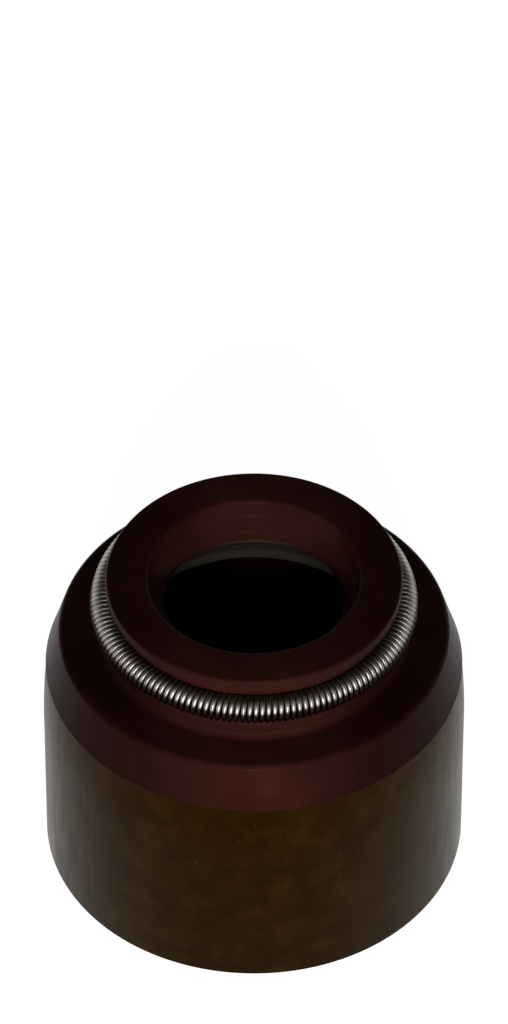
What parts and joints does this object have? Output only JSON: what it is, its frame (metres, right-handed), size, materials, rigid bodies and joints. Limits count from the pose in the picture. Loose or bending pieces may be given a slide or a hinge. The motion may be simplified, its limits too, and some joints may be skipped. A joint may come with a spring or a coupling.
{
  "type": "valve stem seal",
  "caption": "Round engine valve stem seal: steel sleeve with a rubber body moulded over its top, a sealing lip in the bore and a garter spring round the neck.",
  "frame": {"origin": "centre of the case's open rim, in the plane of the rim", "axes": "+Z along the seal's axis, from the open rim towards the sealing lip; X and Y are alike"},
  "size_m": [0.0134, 0.0134, 0.0112],
  "materials": {
    "coated_steel": "satin olive-brown bonding coat",
    "seal_rubber": "satin moulded red-brown rubber",
    "spring_wire": "bright drawn wire"
  },
  "bodies": {
    "root": {"metal_case": "coated_steel", "seal_body": "seal_rubber", "garter_spring": "spring_wire"}
  },
  "joints": []
}
